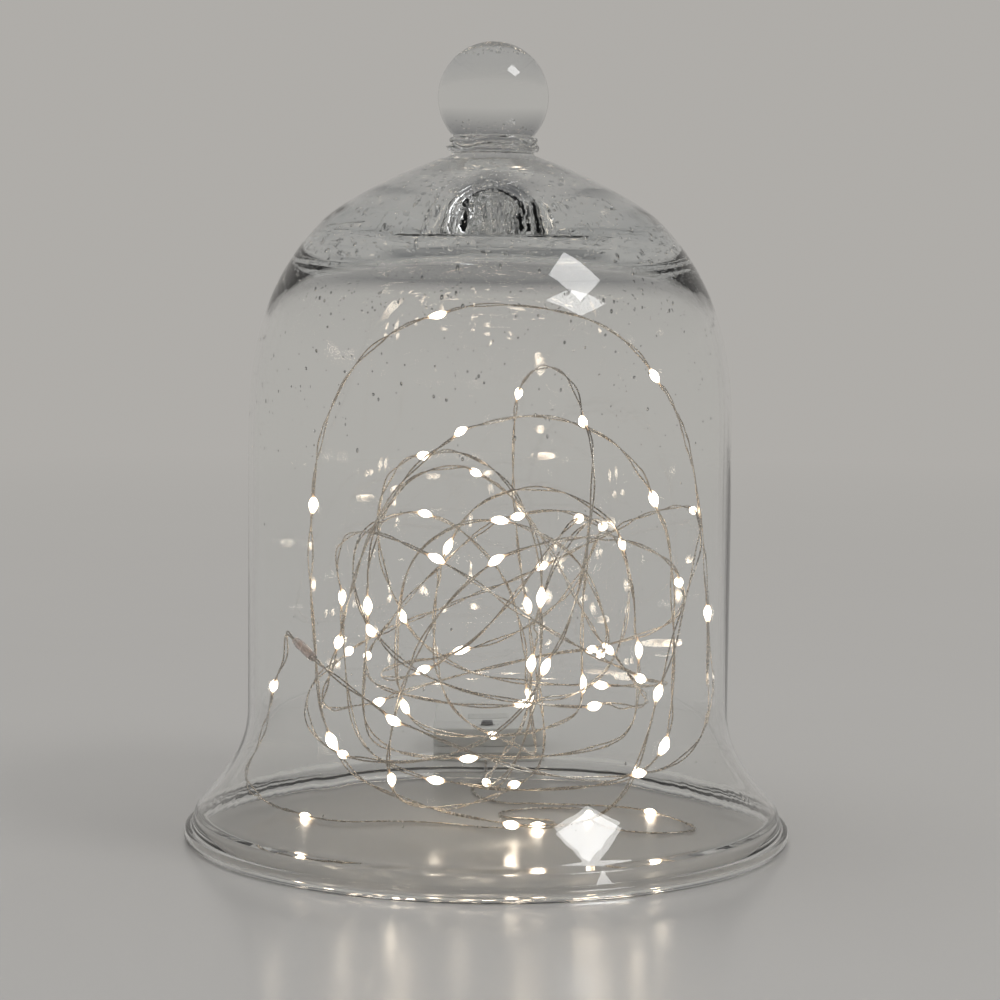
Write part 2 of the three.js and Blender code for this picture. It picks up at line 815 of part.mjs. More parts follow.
function switchSlider() {
  const foot = boardTop + switchHeight + clearance;
  const seat = boxTop + clearance;
  const low = switchMiddle - stemHalf;
  const stem = block(-stemHalf, stemHalf, low, low + 2 * stemHalf, foot, seat + joinDepth);
  const cap = pushed(
    [
      [-capHalf, seat],
      [capHalf, seat],
      [capHalf, seat + capHeight / 2],
      [capHalf - 0.7, seat + capHeight],
      [0.7 - capHalf, seat + capHeight],
      [-capHalf, seat + capHeight / 2],
    ],
    switchMiddle - capHalf,
    switchMiddle + capHalf,
  );
  return geometryOf(solid(stem).add(solid(cap)));
}
mesh("switch_slider", switchSlider(), sliderPlastic, batteryBox);

// The grommet is snapped through the tray's front wall and tapers along the wire.
const grommet = mesh(
  "cord_grommet",
  turned(
    [
      [0, -bayStart - 1.2],
      [grommetRadius + 0.8, -bayStart - 1.2],
      [grommetRadius + 0.8, -bayStart - clearance / 2],
      [grommetRadius, -bayStart - clearance / 2],
      [grommetRadius, clearance / 2],
      [grommetRadius + 1, clearance / 2],
      [grommetRadius + 1, 1],
      [1.1, grommetOut],
      [0, grommetOut],
    ],
    16,
  ),
  softRubber,
  batteryBox,
);
grommet.position.set(0, 0, grommetHeight);
grommet.rotation.x = Math.PI / 2;

const model = new THREE.Group();
model.add(cloche, lightString, batteryBox);

console.log("lights:", routeLights.length + windingLights.length + 1);
console.log("wire on the table:", routeLength.toFixed(0), "mm; winding:", windingLength.toFixed(0), "mm");
console.log("least gap of the string to itself:", leastGap().toFixed(2), "mm");

export default model;
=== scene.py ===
"""A blown glass cloche over a loose string of small lights, with the string's battery box behind it.

Shapes are worked out in millimetres, as on the bench, and become metres where a mesh is made.
The origin is the centre of the rim on the table, +Z is up and the camera looks along +Y.
"""
import math
import random

import bmesh
import bpy
from mathutils import Matrix, Vector

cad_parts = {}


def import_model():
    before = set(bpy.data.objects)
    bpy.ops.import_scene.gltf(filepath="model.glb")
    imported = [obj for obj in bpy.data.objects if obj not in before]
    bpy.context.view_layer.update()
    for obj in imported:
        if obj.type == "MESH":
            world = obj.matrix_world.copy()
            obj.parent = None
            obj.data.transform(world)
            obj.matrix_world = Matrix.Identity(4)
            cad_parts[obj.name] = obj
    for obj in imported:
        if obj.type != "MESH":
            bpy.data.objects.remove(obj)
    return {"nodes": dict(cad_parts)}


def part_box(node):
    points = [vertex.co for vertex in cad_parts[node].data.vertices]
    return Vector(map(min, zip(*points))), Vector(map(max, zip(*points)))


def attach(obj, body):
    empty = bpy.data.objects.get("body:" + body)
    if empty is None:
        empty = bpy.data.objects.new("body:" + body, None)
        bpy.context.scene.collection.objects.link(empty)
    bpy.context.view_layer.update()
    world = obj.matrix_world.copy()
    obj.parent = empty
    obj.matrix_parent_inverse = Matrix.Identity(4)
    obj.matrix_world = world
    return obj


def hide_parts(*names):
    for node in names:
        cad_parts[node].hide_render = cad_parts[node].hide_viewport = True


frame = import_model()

MM = 0.001
PI = math.pi
UP = Vector((0, 0, 1))
SHORTEST = 1e-6
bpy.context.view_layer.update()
link = bpy.context.scene.collection.objects.link


def lerp(a, b, t):
    return a + (b - a) * t


def ease(t):
    t = min(max(t, 0), 1)
    return t * t * (3 - 2 * t)


def round_angles(sides):
    return [2 * PI * k / sides for k in range(sides)]


def bezier(a, b, c, d, steps):
    """Points on a cubic curve from a to d, the last one left out."""
    points = []
    for i in range(steps):
        t = i / steps
        u = 1 - t
        pulls = list(zip((u**3, 3 * u * u * t, 3 * u * t * t, t**3), (a, b, c, d)))
        points.append((sum(w * p[0] for w, p in pulls), sum(w * p[1] for w, p in pulls)))
    return points


def catmull(points, steps):
    """A dense centripetal Catmull-Rom line through the points."""
    first = 2 * points[0] - points[1]
    last = 2 * points[-1] - points[-2]
    padded = [first, *points, last]
    line = []
    for p0, p1, p2, p3 in zip(padded, padded[1:], padded[2:], padded[3:]):
        spans = ((p0, p1), (p1, p2), (p2, p3))
        d0, d1, d2 = (math.sqrt(max((b - a).length, SHORTEST)) for a, b in spans)
        m1 = ((p1 - p0) / d0 - (p2 - p0) / (d0 + d1) + (p2 - p1) / d1) * d1
        m2 = ((p2 - p1) / d1 - (p3 - p1) / (d1 + d2) + (p3 - p2) / d2) * d1
        cubic = 2 * p1 - 2 * p2 + m1 + m2
        square = 3 * p2 - 3 * p1 - 2 * m1 - m2
        for i in range(steps):
            t = i / steps
            line.append(p1 + m1 * t + square * t**2 + cubic * t**3)
    return [*line, points[-1]]


# Camera and lights, in metres

CAMERA_DISTANCE = 0.952
CAMERA_HEIGHT = 0.2093
CAMERA_SIDE = 0.0041
CAMERA_PITCH = math.radians(4.6)
CAMERA_ROLL = math.radians(0.56)
LENS = 87.0
SENSOR_WIDTH = 36
CLIP_START = 0.01
LIT_POINT = Vector((0, 0, 0.25))


def add_camera():
    data = bpy.data.cameras.new("camera")
    data.lens = LENS
    data.sensor_width = SENSOR_WIDTH
    data.clip_start = CLIP_START
    camera = bpy.data.objects.new("camera", data)
    link(camera)
    camera.location = (CAMERA_SIDE, -CAMERA_DISTANCE, CAMERA_HEIGHT)
    turn = Matrix.Rotation(PI / 2 - CAMERA_PITCH, 4, "X") @ Matrix.Rotation(CAMERA_ROLL, 4, "Z")
    camera.rotation_euler = turn.to_euler()
    bpy.context.scene.camera = camera


def add_softbox(name, towards, distance, size, power, roll):
    """A rectangular light at a distance from the bell's middle, facing it."""
    data = bpy.data.lights.new(name, "AREA")
    data.shape = "RECTANGLE"
    data.size, data.size_y = size
    data.energy = power
    lamp = bpy.data.objects.new(name, data)
    link(lamp)
    away = Vector(towards).normalized()
    lamp.location = LIT_POINT + away * distance
    turn = away.to_track_quat("Z", "Y").to_matrix() @ Matrix.Rotation(roll, 3, "Z")
    lamp.rotation_euler = turn.to_euler()
    return lamp


# Shader maths

class Value:
    """A node's output that takes part in arithmetic; each operation adds one Math node."""

    def __init__(self, nodes, socket):
        self.nodes = nodes
        self.socket = socket

    def math(self, operation, other):
        return self.nodes.node("ShaderNodeMath", {"operation": operation}, {0: self, 1: other})

    def __add__(self, other):
        return self.math("ADD", other)

    def __mul__(self, other):
        return self.math("MULTIPLY", other)

    def __lt__(self, other):
        return self.math("LESS_THAN", other)

    def larger(self, other):
        return self.math("MAXIMUM", other)

    __radd__ = __add__
    __rmul__ = __mul__


class Nodes:
    """A node tree that nodes are added to, each with its settings and sockets."""

    def __init__(self, tree):
        self.tree = tree

    def feed(self, node, key, value):
        socket = node.inputs[key]
        if isinstance(value, Value):
            self.tree.links.new(value.socket, socket)
        elif isinstance(value, tuple) and len(value) == 3 and socket.type == "RGBA":
            socket.default_value = (*value, 1)
        else:
            socket.default_value = value

    def node(self, kind, settings, sockets, output=0):
        node = self.tree.nodes.new(kind)
        for setting, value in settings.items():
            if setting == "stops":
                stops = node.color_ramp.elements
                while len(stops) < len(value):
                    stops.new(1)
                for stop, (place, colour) in zip(stops, value):
                    stop.position = place
                    stop.color = (*colour, 1)
            else:
                setattr(node, setting, value)
        for key, value in sockets.items():
            self.feed(node, key, value)
        return Value(self, node.outputs[output])

    def place(self):
        return self.node("ShaderNodeTexCoord", {}, {}, "Object")

    def noise(self, scale, detail, roughness=0.5, where=None):
        sockets = {"Vector": where or self.place(), "Scale": scale, "Detail": detail, "Roughness": roughness}
        return self.node("ShaderNodeTexNoise", {}, sockets, "Fac")

    def streaks(self, scale, detail, roughness=0.5):
        """Noise that is drawn out, because each axis has its own scale."""
        where = self.node("ShaderNodeMapping", {}, {"Vector": self.place(), "Scale": scale})
        return self.noise(1, detail, roughness, where)

    def ramp(self, factor, *stops):
        return self.node("ShaderNodeValToRGB", {"stops": stops}, {"Fac": factor}, "Color")

    def spread(self, factor, source, target):
        """A number mapped from one range to another and kept inside it."""
        sockets = dict(zip(("From Min", "From Max", "To Min", "To Max"), (*source, *target)))
        return self.node("ShaderNodeMapRange", {}, {"Value": factor, **sockets}, "Result")

    def mix(self, factor, a, b):
        return self.node("ShaderNodeMix", {"data_type": "RGBA"}, {0: factor, 6: a, 7: b}, 2)

    def attribute(self, name):
        return self.node("ShaderNodeAttribute", {"attribute_name": name}, {}, "Fac")

    def shown(self):
        """1 for a ray that shows the room, straight, mirrored or through glass, and 0 for one that lights."""
        kinds = ("Is Camera Ray", "Is Glossy Ray", "Is Transmission Ray")
        straight, mirrored, through = (self.node("ShaderNodeLightPath", {}, {}, kind) for kind in kinds)
        scattered = self.node("ShaderNodeLightPath", {}, {}, "Diffuse Depth")
        return straight.larger(mirrored).larger(through) * (scattered < 0.5)


class Finish(Nodes):
    """A material and its node tree. Settings are those of the Principled shader."""

    def __init__(self, name, **settings):
        self.material = bpy.data.materials.new(name)
        self.material.use_nodes = True
        super().__init__(self.material.node_tree)
        self.shader = self.tree.nodes["Principled BSDF"]
        self.output = self.tree.nodes["Material Output"]
        self.wear(**settings)

    def wear(self, **channels):
        for channel, value in channels.items():
            self.feed(self.shader, channel.replace("_", " "), value)

    def relief(self, height, depth):
        """A bump whose depth is in millimetres."""
        sockets = {"Height": height, "Distance": depth * MM, "Strength": 1.0}
        self.wear(Normal=self.node("ShaderNodeBump", {}, sockets, "Normal"))


def blown_glass():
    """Clear soda glass, a little grey where it is thick, with draw lines and a few fingerprints."""
    glass = Finish("blown_glass", Transmission_Weight=1.0, IOR=1.5, Base_Color=(0.99, 0.995, 0.99))
    smudge = glass.noise(38, 4, 0.62)
    glass.wear(Roughness=glass.spread(smudge, (0.55, 0.9), (0.0, 0.03)))
    drawn = glass.streaks((42, 42, 4), 2)
    fine = glass.streaks((190, 190, 6), 1)
    glass.relief(drawn + 0.3 * fine, 0.04)
    depth = glass.node("ShaderNodeVolumeAbsorption", {}, {"Color": (0.82, 0.85, 0.86), "Density": 5})
    glass.feed(glass.output, "Volume", depth)
    return glass.material


def silver_wire():
    """Bright soft wire in clear lacquer, with a warm cast and fine draw marks."""
    wire = Finish("silver_wire", Metallic=1.0, Coat_Weight=0.35)
    patch = wire.noise(90, 3)
    wire.wear(
        Base_Color=wire.ramp(patch, (0.3, (0.5, 0.43, 0.35)), (0.7, (0.8, 0.75, 0.68))),
        Roughness=wire.spread(wire.noise(700, 2), (0.3, 0.7), (0.16, 0.34)),
    )
    wire.relief(wire.noise(2600, 2), 0.04)
    return wire.material


def lit_resin():
    """A drop of clear resin, lit from its middle: white at the light, amber towards its tips."""
    drop = Finish("lit_resin", Coat_Weight=0.6, IOR=1.5, Emission_Strength=16.0)
    cloud = drop.noise(900, 2)
    light = drop.attribute("glow") * (0.85 + 0.3 * cloud)
    glow = drop.ramp(
        light,
        (0.0, (0.014, 0.0075, 0.0035)),
        (0.4, (0.06, 0.04, 0.024)),
        (0.75, (0.4, 0.31, 0.22)),
        (1.0, (1.0, 0.88, 0.72)),
    )
    drop.wear(
        Base_Color=drop.ramp(light, (0.0, (0.55, 0.42, 0.3)), (0.6, (1.0, 0.9, 0.72))),
        Roughness=drop.spread(cloud, (0.3, 0.7), (0.08, 0.2)),
        Emission_Color=glow,
    )
    return drop.material


def clear_sleeve():
    """Clear shrunk tube, a little cloudy and warm, with fine marks along it."""
    sleeve = Finish("clear_sleeve", Transmission_Weight=0.85, IOR=1.42, Base_Color=(1.0, 0.9, 0.86))
    sleeve.wear(Roughness=sleeve.spread(sleeve.noise(500, 3), (0.3, 0.7), (0.08, 0.3)))
    sleeve.relief(sleeve.streaks((900, 900, 200), 2), 0.08)
    return sleeve.material


def box_plastic():
    """Satin moulded plastic with a fine spark-eroded grain."""
    plastic = Finish("box_plastic", Subsurface_Weight=0.04, Subsurface_Radius=(0.002, 0.0015, 0.001))
    cloud = plastic.noise(26, 4, 0.6)
    grain = plastic.noise(3400, 2, 0.6)
    plastic.wear(
        Base_Color=plastic.ramp(cloud, (0.25, (0.47, 0.46, 0.435)), (0.75, (0.52, 0.51, 0.485))),
        Roughness=plastic.spread(grain + 0.4 * cloud, (0.4, 1.0), (0.36, 0.56)),
    )
    plastic.relief(grain, 0.05)
    return plastic.material


def cell_wrap():
    """Foil wrap in a dark and a copper band, with a fine seam-free gloss."""
    wrap = Finish("cell_wrap", Metallic=0.55, Coat_Weight=0.5)
    cloud = wrap.noise(120, 3)
    bands = wrap.ramp(
        wrap.attribute("band") + 0.004 * cloud,
        (0.0, (0.055, 0.06, 0.062)),
        (0.66, (0.06, 0.065, 0.068)),
        (0.665, (0.72, 0.44, 0.22)),
        (0.99, (0.78, 0.5, 0.27)),
    )
    wrap.wear(Base_Color=bands, Roughness=wrap.spread(cloud, (0.3, 0.7), (0.22, 0.36)))
    return wrap.material


def nickel_plate():
    """Bright plated spring metal, brushed across."""
    nickel = Finish("nickel_plate", Metallic=1.0)
    cloud = nickel.noise(240, 3)
    brushed = nickel.streaks((300, 4200, 4200), 3, 0.6)
    nickel.wear(
        Base_Color=nickel.ramp(cloud, (0.3, (0.66, 0.64, 0.6)), (0.7, (0.79, 0.78, 0.75))),
        Roughness=nickel.spread(brushed, (0.3, 0.7), (0.18, 0.36)),
    )
    nickel.relief(brushed, 0.02)
    return nickel.material


def board_lacquer():
    """Green lacquer over the glass weave of a circuit board."""
    board = Finish("board_lacquer", Coat_Weight=0.4)
    weave = board.streaks((1600, 500, 500), 2)
    board.wear(
        Base_Color=board.ramp(weave, (0.35, (0.02, 0.14, 0.07)), (0.65, (0.045, 0.22, 0.12))),
        Roughness=board.spread(weave, (0.3, 0.7), (0.25, 0.4)),
    )
    return board.material


def moulded(name, dark, light, rough):
    """Plain moulded plastic or soft rubber, between two shades."""
    made = Finish(name)
    grain = made.noise(2600, 2, 0.6)
    made.wear(
        Base_Color=made.ramp(made.noise(150, 3), (0.3, dark), (0.7, light)),
        Roughness=made.spread(grain, (0.3, 0.7), (rough - 0.08, rough + 0.08)),
    )
    made.relief(grain, 0.04)
    return made.material


# Mesh helpers

def band(low, high, sides):
    """The faces between two rings of points, each given by the number of its first point."""
    steps = [(k, (k + 1) % sides) for k in range(sides)]
    return [(low + k, low + j, high + j, high + k) for k, j in steps]


def frames(points, way=1):
    """Each point of a line with two directions across it, which turn as little as they can."""
    last = len(points) - 1
    across = None
    for i, point in enumerate(points):
        ahead = (points[min(i + 1, last)] - points[max(i - 1, 0)]).normalized()
        across = way * UP.cross(ahead) if across is None else across - ahead * across.dot(ahead)
        across.normalize()
        yield point, across, ahead.cross(across)


def tube(points, radii, sides):
    """Rings of points along a line, and the faces of the closed tube through them."""
    verts, faces = [], []
    for (point, across, up), radius in zip(frames(points), radii):
        for angle in round_angles(sides):
            verts.append(point + radius * (across * math.cos(angle) + up * math.sin(angle)))
    last = len(verts) - sides
    for low in range(0, last, sides):
        faces += band(low, low + sides, sides)
    faces.append(tuple(reversed(range(sides))))
    faces.append(tuple(range(last, last + sides)))
    return verts, faces


def join(parts):
    """Several (points, faces) pairs as one."""
    points, faces = [], []
    for more_points, more_faces in parts:
        base = len(points)
        points += more_points
        faces += [tuple(base + k for k in face) for face in more_faces]
    return points, faces


def as_piece(name, mesh, material, body):
    """A smooth-shaded mesh as a piece that rides on a body."""
    mesh.polygons.foreach_set("use_smooth", [True] * len(mesh.polygons))
    mesh.materials.append(material)
    piece = bpy.data.objects.new(name, mesh)
    link(piece)
    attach(piece, body)
    return piece


def add_piece(name, points, faces, material, body, slot, **values):
    """A piece from points in millimetres; values are named numbers, one a point."""
    mesh = bpy.data.meshes.new(name)
    mesh.from_pydata([Vector(p) * MM for p in points], [], faces)
    for key, numbers in values.items():
        mesh.attributes.new(key, "FLOAT", "POINT").data.foreach_set("value", numbers)
    mesh.validate()
    return as_piece(name, mesh, material, body)


# Room: a pale floor that runs out to a pale backdrop, in metres

BACKDROP = (0.43, 0.416, 0.395)
UPPER = (0.14, 0.14, 0.143)
OVERHEAD = (0.09, 0.09, 0.093)
LIGHT_LOW = (0.54, 0.54, 0.54)
LIGHT_HIGH = (0.8, 0.81, 0.83)
FLOOR = (0.45, 0.436, 0.414)
FLOOR_ROUGHNESS = 0.2
FLOOR_SIDES = 96
FLOOR_RADII = [0.2 * 1.35**i for i in range(15)] + [14.0]
FLOOR_FADE = (0.45, 2.4)


def add_world():
    """The backdrop for rays that show it, and a plain even light for the rest."""
    world = bpy.data.worlds.new("studio")
    bpy.context.scene.world = world
    world.use_nodes = True
    room = Nodes(world.node_tree)
    direction = room.node("ShaderNodeTexCoord", {}, {}, "Generated")
    height = room.node("ShaderNodeSeparateXYZ", {}, {0: direction}, "Z")
    look = room.ramp(height, (0.0, BACKDROP), (0.2, BACKDROP), (0.62, UPPER), (1.0, OVERHEAD))
    light = room.ramp(height, (0.0, LIGHT_LOW), (1.0, LIGHT_HIGH))
    room.feed(room.tree.nodes["Background"], "Color", room.mix(room.shown(), light, look))


def floor_paint():
    """Pale, softly glossy, and far out no more than the backdrop's own colour."""
    paint = Finish("floor_paint", Roughness=FLOOR_ROUGHNESS)
    shade = tuple(0.97 * c for c in FLOOR)
    paint.wear(Base_Color=paint.ramp(paint.noise(3, 3), (0.3, shade), (0.7, FLOOR)))
    away = paint.node("ShaderNodeVectorMath", {"operation": "LENGTH"}, {0: paint.place()}, "Value")
    far = paint.spread(away, FLOOR_FADE, (0.0, 1.0))
    surface = Value(paint, paint.shader.outputs[0])
    distant = paint.node("ShaderNodeEmission", {}, {"Color": BACKDROP})
    blend = paint.node("ShaderNodeMixShader", {}, {0: far * paint.shown(), 1: surface, 2: distant})
    paint.feed(paint.output, "Surface", blend)
    return paint.material


def add_floor():
    verts = [(0, 0, 0)]
    for r in FLOOR_RADII:
        verts += [(r * math.cos(a), r * math.sin(a), 0) for a in round_angles(FLOOR_SIDES)]
    faces = [(0, 1 + i, 1 + (i + 1) % FLOOR_SIDES) for i in range(FLOOR_SIDES)]
    for ring in range(len(FLOOR_RADII) - 1):
        low = 1 + ring * FLOOR_SIDES
        faces += band(low + FLOOR_SIDES, low, FLOOR_SIDES)
    mesh = bpy.data.meshes.new("floor")
    mesh.from_pydata(verts, [], faces)
    mesh.materials.append(floor_paint())
    floor = bpy.data.objects.new("floor", mesh)
    link(floor)


# Glass: bell, collar and ball are one blown piece

BODY_RADIUS = 95.0
WALL = 2.4
SHOULDER_HEIGHT = 160.0
CROWN_HEIGHT = 268.6
CROWN_RISE = CROWN_HEIGHT - SHOULDER_HEIGHT

RIM_RADIUS = 120.0
RIM_BEAD = 2.6
RIM_GROUND = 0.2
RIM_STEPS = 18
RIM_TURN = math.radians(86)
BEAD_CENTRE = RIM_RADIUS - RIM_BEAD
MOUTH_INSET = 1.6
MOUTH_HEIGHT = 8.0
SKIRT_HEIGHT = 50.0
SKIRT_FLARE = 12.0
SKIRT_BEND = 16.0

OUTER_RUN = 0.387
HAUNCH = (BODY_RADIUS * 0.7, SHOULDER_HEIGHT + CROWN_RISE * 0.75)
HAUNCH_PULL = 16.0
CROWN_PULL = 10.0
CROWN_TOP_PULL = 16.0
CROWN_TOP_DROP = 5.6

INNER_RUN = 0.424
CEILING = CROWN_HEIGHT - 26.6
CEILING_EDGE = (60.0, 231.5)
EDGE_PULL = (19.0, -4.5)
CONE_PULL = (-20.0, 3.0)
TIP_PULL = (14.0, -1.2)

SEAT_RADIUS = 15.4
SEAT_ROUND = 1.2
COLLAR = [
    (SEAT_ROUND, -0.9), (0.5, 0.0), (1.9, 0.7), (2.6, 1.5), (2.1, 2.6),
    (0.8, 3.5), (1.9, 4.5), (1.5, 5.6), (0.1, 6.2),
]
KNOB_RADIUS = 21.7
KNOB_FOOT = CROWN_HEIGHT + COLLAR[-1][1]
KNOB_TILT = math.acos(SEAT_RADIUS / KNOB_RADIUS)
KNOB_CENTRE = KNOB_FOOT + KNOB_RADIUS * math.sin(KNOB_TILT)

NOTCH_WIDTH = 3.4
NOTCH_HEIGHT = 2.4
NOTCH_STEPS = 12

SIDES = 160
SKIRT_STEPS = 22
WALL_STEPS = 30
SHOULDER_STEPS = 26
CROWN_STEPS = 22
CONE_STEPS = 40
COLLAR_STEPS = 4
BALL_STEPS = 44
HAUNCH_STEP = SKIRT_STEPS + WALL_STEPS + SHOULDER_STEPS


def skirt_and_wall(inset):
    """The flared skirt and the straight wall above it, from the rim up."""
    r = BODY_RADIUS - inset
    mouth = RIM_RADIUS - MOUTH_INSET - inset
    flare = (mouth - SKIRT_FLARE, MOUTH_HEIGHT + SKIRT_FLARE)
    bend = (r, SKIRT_HEIGHT - SKIRT_BEND)
    skirt = bezier((mouth, MOUTH_HEIGHT), flare, bend, (r, SKIRT_HEIGHT), SKIRT_STEPS)
    rise = SHOULDER_HEIGHT - SKIRT_HEIGHT
    return skirt + [(r, SKIRT_HEIGHT + rise * i / WALL_STEPS) for i in range(WALL_STEPS)]


def outer_glass():
    """The outside, from the rim over the crown and the wavy collar to just below the ball's top."""
    start = (BODY_RADIUS, SHOULDER_HEIGHT)
    run = (BODY_RADIUS, SHOULDER_HEIGHT + CROWN_RISE * OUTER_RUN)
    pull = (HAUNCH[0] + HAUNCH_PULL, HAUNCH[1] - HAUNCH_PULL)
    shoulder = bezier(start, run, pull, HAUNCH, SHOULDER_STEPS)
    collar = [(SEAT_RADIUS + out, CROWN_HEIGHT + up) for out, up in COLLAR]
    pull = (HAUNCH[0] - CROWN_PULL, HAUNCH[1] + CROWN_PULL)
    top = (SEAT_RADIUS + CROWN_TOP_PULL, CROWN_HEIGHT - CROWN_TOP_DROP)
    crown = bezier(HAUNCH, pull, top, collar[0], CROWN_STEPS)
    neck = [(p.x, p.y) for p in catmull([Vector((r, z, 0)) for r, z in collar], COLLAR_STEPS)]
    tilts = [lerp(0.04 - KNOB_TILT, PI / 2, i / BALL_STEPS) for i in range(BALL_STEPS)]
    ball = [(KNOB_RADIUS * math.cos(a), KNOB_CENTRE + KNOB_RADIUS * math.sin(a)) for a in tilts]
    return skirt_and_wall(0) + shoulder + crown + neck + ball


def inner_glass():
    """The hollow, from the rim up to the tip of the shallow cone that the crown's thick glass leaves."""
    side = BODY_RADIUS - WALL
    edge_r, edge_z = CEILING_EDGE
    run = (side, SHOULDER_HEIGHT + CROWN_RISE * INNER_RUN)
    pull = (edge_r + EDGE_PULL[0], edge_z + EDGE_PULL[1])
    shoulder = bezier((side, SHOULDER_HEIGHT), run, pull, CEILING_EDGE, SHOULDER_STEPS)
    pull = (edge_r + CONE_PULL[0], edge_z + CONE_PULL[1])
    tip = (TIP_PULL[0], CEILING + TIP_PULL[1])
    cone = bezier(CEILING_EDGE, pull, tip, (0, CEILING), CONE_STEPS)
    return skirt_and_wall(WALL) + shoulder + cone


def rim_profile():
    """From the ground ring's inner edge round the rolled bead to the skirt."""
    rise = RIM_BEAD - RIM_GROUND
    flat = math.sqrt(RIM_BEAD**2 - rise**2)
    start = math.atan2(-rise, flat)
    points = [(BEAD_CENTRE - flat, 0.0)]
    for i in range(RIM_STEPS + 1):
        a = lerp(start, RIM_TURN, i / RIM_STEPS)
        points.append((BEAD_CENTRE + RIM_BEAD * math.cos(a), rise + RIM_BEAD * math.sin(a)))
    return [*points, (BEAD_CENTRE - 0.15, 5.3)]


def glass_profile():
    """Two outlines: rim, outside and ball, then the hollow from its ceiling back down."""
    outside = rim_profile() + outer_glass()[2:] + [(0.0, KNOB_CENTRE + KNOB_RADIUS)]
    inside = [(0.0, CEILING), *reversed(inner_glass()), (BEAD_CENTRE - 1.9, 3.4)]
    return outside, inside


def waves(seed, low, high, size):
    """A smooth closed wobble round the bell, as a function of the angle."""
    draw = random.Random(seed)
    share = size / math.sqrt(high - low)
    terms = [(k, share * draw.uniform(0.4, 1.3), draw.uniform(0, 2 * PI)) for k in range(low, high)]
    return lambda angle: sum(a * math.cos(k * angle + p) for k, a, p in terms)


def notch_roof(x):
    """How high the notch under the rim reaches at a place across it."""
    half = NOTCH_WIDTH / 2
    if abs(x) >= half:
        return 0.0
    return NOTCH_HEIGHT - half + math.sqrt(half * half - x * x)


def ring_angles():
    """Even steps round the bell, and finer ones across the notch at the back."""
    half = math.asin(NOTCH_WIDTH / 2 / BEAD_CENTRE)
    kept = [a for a in round_angles(SIDES) if abs(a - PI / 2) > half * 1.3]
    fine = [PI / 2 + half * lerp(-1.02, 1.02, i / NOTCH_STEPS) for i in range(NOTCH_STEPS + 1)]
    return sorted(kept + fine)


def glass_shell():
    """The skin of the glass, turned from its outlines, with the small waves of blown work."""
    outside, inside = glass_profile()
    wide = waves(seed=3, low=2, high=9, size=0.12)
    ribs = waves(seed=8, low=14, high=40, size=0.02)
    inner_ribs = waves(seed=21, low=9, high=34, size=0.035)
    folds = waves(seed=13, low=3, high=9, size=0.75)
    lumps = waves(seed=14, low=3, high=12, size=0.35)
    angles = ring_angles()
    points, rows = [], []

    def outer_wave(angle, z):
        return wide(angle + z * 0.004) + ribs(angle) * (0.6 + 0.4 * math.sin(z * 0.03))

    def inner_wave(angle, z):
        return inner_ribs(angle + 0.0006 * z) * (0.7 + 0.3 * math.sin(z * 0.047 + 1))

    def add_row(r, z, wave):
        if r == 0:
            rows.append([len(points)] * len(angles))
            points.append((0, 0, z))
            return
        rows.append(range(len(points), len(points) + len(angles)))
        # The waves die out at the rim, the axis and the crown's top; the collar alone is folded.
        waved = ease((z - 8) / 40) * min(r / 30, 1) * (1 - ease((z - CROWN_HEIGHT + 6) / 4))
        folded = ease((z - CROWN_HEIGHT) / 1.5) * (1 - ease((z - KNOB_FOOT + 1.5) / 1.5))
        for angle in angles:
            swell = waved * wave(angle, z) + folded * lumps(angle + 0.4 * z)
            x, y = (r + swell) * math.cos(angle), (r + swell) * math.sin(angle)
            if z < NOTCH_HEIGHT + 0.5:
                points.append((x, y, max(z, notch_roof(x) if y > 0 else 0.0)))
            else:
                points.append((x, y, z + folded * folds(angle)))

    for r, z in outside:
        add_row(r, z, outer_wave)
    for r, z in inside:
        add_row(r, z, inner_wave)
    faces = []
    for i, (low, high) in enumerate(zip(rows, [*rows[1:], rows[0]])):
        # Nothing joins the ball's top to the ceiling.
        if i == len(outside) - 1:
            continue
        for k in range(len(angles)):
            j = (k + 1) % len(angles)
            faces.append(tuple(dict.fromkeys((low[k], low[j], high[j], high[k]))))
    return points, faces


BUBBLE_SIDES = 6
BUBBLE_RINGS = 4
MANY_SMALL = 3
CREST_TILT = 0.72
SKIN_GAP = 1.0


def bubble(centre, radius, stretch, along):
    """A small hollow, its faces turned towards its own middle because the glass is outside it."""
    turn = UP.rotation_difference(Vector(along).normalized()).to_matrix()
    places = [(0, 0, -radius * stretch)]
    for ring in range(1, BUBBLE_RINGS):
        tilt = -PI / 2 + PI * ring / BUBBLE_RINGS
        flat = radius * math.cos(tilt)
        rise = radius * stretch * math.sin(tilt)
        places += [(flat * math.cos(a), flat * math.sin(a), rise) for a in round_angles(BUBBLE_SIDES)]
    places.append((0, 0, radius * stretch))
    top = len(places) - 1
    faces = []
    for k in range(BUBBLE_SIDES):
        j = (k + 1) % BUBBLE_SIDES
        faces.append((0, 1 + k, 1 + j))
        faces.append((top, top - BUBBLE_SIDES + j, top - BUBBLE_SIDES + k))
    for ring in range(BUBBLE_RINGS - 2):
        low = 1 + ring * BUBBLE_SIDES
        faces += band(low + BUBBLE_SIDES, low, BUBBLE_SIDES)
    return [centre + turn @ Vector(place) for place in places], faces


def height_on(line, r):
    """How high a falling or rising outline of (radius, height) stands at a radius."""
    for (r1, z1), (r2, z2) in zip(line, line[1:]):
        if min(r1, r2) <= r <= max(r1, r2) and r1 != r2:
            return lerp(z1, z2, (r - r1) / (r2 - r1))
    return line[-1][1]


